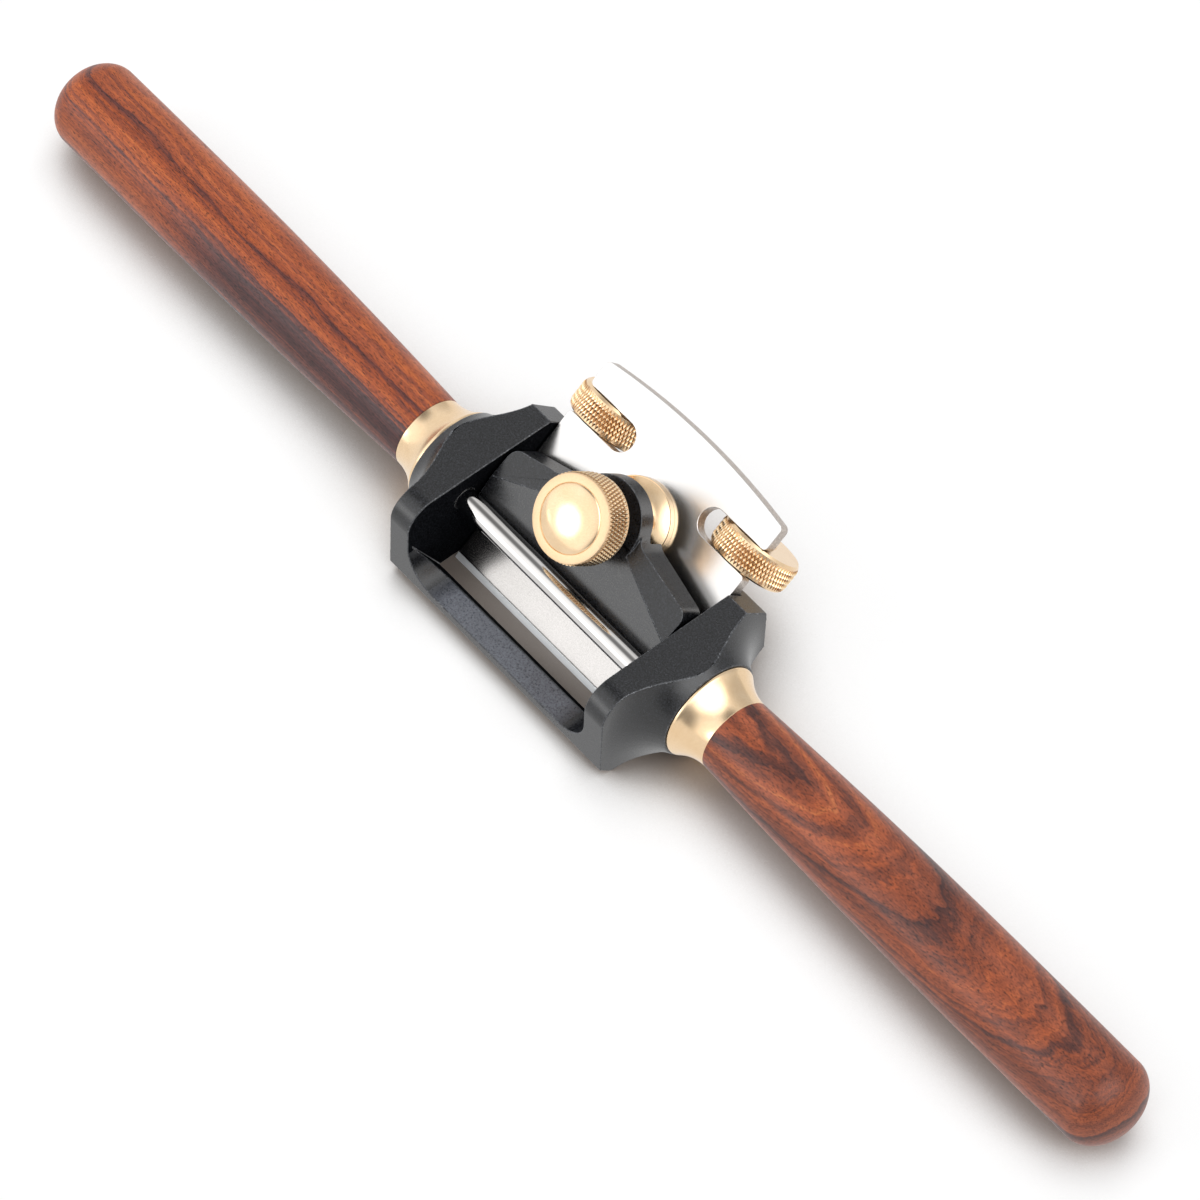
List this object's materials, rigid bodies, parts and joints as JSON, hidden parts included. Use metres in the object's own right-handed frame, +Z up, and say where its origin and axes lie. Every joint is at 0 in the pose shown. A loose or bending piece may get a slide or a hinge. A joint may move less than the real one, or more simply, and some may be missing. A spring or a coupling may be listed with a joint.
{
  "type": "spokeshave",
  "caption": "Spokeshave hand plane: black frame with turned rosewood handles at both sides, flat iron, lever cap under a cross pin and brass depth wheels.",
  "frame": {"origin": "on the sole, half way between the handles and straight under their common axis", "axes": "+X along the handles towards the right handle, +Y from the toe towards the heel, +Z up, away from the work"},
  "size_m": [0.311, 0.0548, 0.0416],
  "materials": {
    "black_anodised": "bead-blasted, black anodised",
    "iron_steel": "finely ground",
    "polished_steel": "polished",
    "screw_steel": "turned",
    "satin_brass": "satin",
    "rosewood": "oiled"
  },
  "bodies": {
    "frame_body": {"frame": "black_anodised", "cap_pin": "polished_steel", "adjuster_stud_left": "screw_steel", "adjuster_stud_right": "screw_steel", "ferrule_left": "satin_brass", "ferrule_right": "satin_brass", "handle_left": "rosewood", "handle_right": "rosewood", "tang_rod_left": "screw_steel", "tang_rod_right": "screw_steel", "handle_insert_left": "satin_brass", "handle_insert_right": "satin_brass"},
    "iron": {"blade": "iron_steel"},
    "left_wheel": {"adjuster_wheel_left": "satin_brass"},
    "right_wheel": {"adjuster_wheel_right": "satin_brass"},
    "cap": {"lever_cap": "black_anodised"},
    "foot": {"pressure_foot": "satin_brass", "foot_clip": "screw_steel"},
    "screw": {"cap_screw": "screw_steel", "cap_knob": "satin_brass"}
  },
  "joints": [
    {"name": "iron_slide", "type": "slide", "parent": "frame_body", "child": "iron", "axis": [0, 0.766, 0.6428], "range_m": [-0.00102, 0.00102]},
    {"name": "left_wheel_spin", "type": "hinge", "parent": "iron", "child": "left_wheel", "pos_m": [-0.0207, 0.02599, 0.02056], "axis": [0, 0.766, 0.6428], "range_deg": [-450, 450]},
    {"name": "right_wheel_spin", "type": "hinge", "parent": "iron", "child": "right_wheel", "pos_m": [0.0207, 0.02599, 0.02056], "axis": [0, 0.766, 0.6428], "range_deg": [-451, 451]},
    {"name": "cap_tilt", "type": "hinge", "parent": "frame_body", "child": "cap", "pos_m": [0, -0.00694, 0.01687], "axis": [1, 0, 0], "range_deg": [0, 2]},
    {"name": "foot_lift", "type": "slide", "parent": "cap", "child": "foot", "axis": [0, -0.7373, 0.6756], "range_m": [0, 0.0008]},
    {"name": "screw_spin", "type": "hinge", "parent": "foot", "child": "screw", "pos_m": [0, 0.01376, 0.01982], "axis": [0, -0.7373, 0.6756], "range_deg": [0, 270]}
  ],
  "couplings": [
    {"joint": "iron_slide", "follows": "left_wheel_spin", "m_per_rad": 0.00012732},
    {"joint": "right_wheel_spin", "follows": "left_wheel_spin", "ratio": 1},
    {"joint": "foot_lift", "follows": "screw_spin", "m_per_rad": 0.00015915}
  ]
}
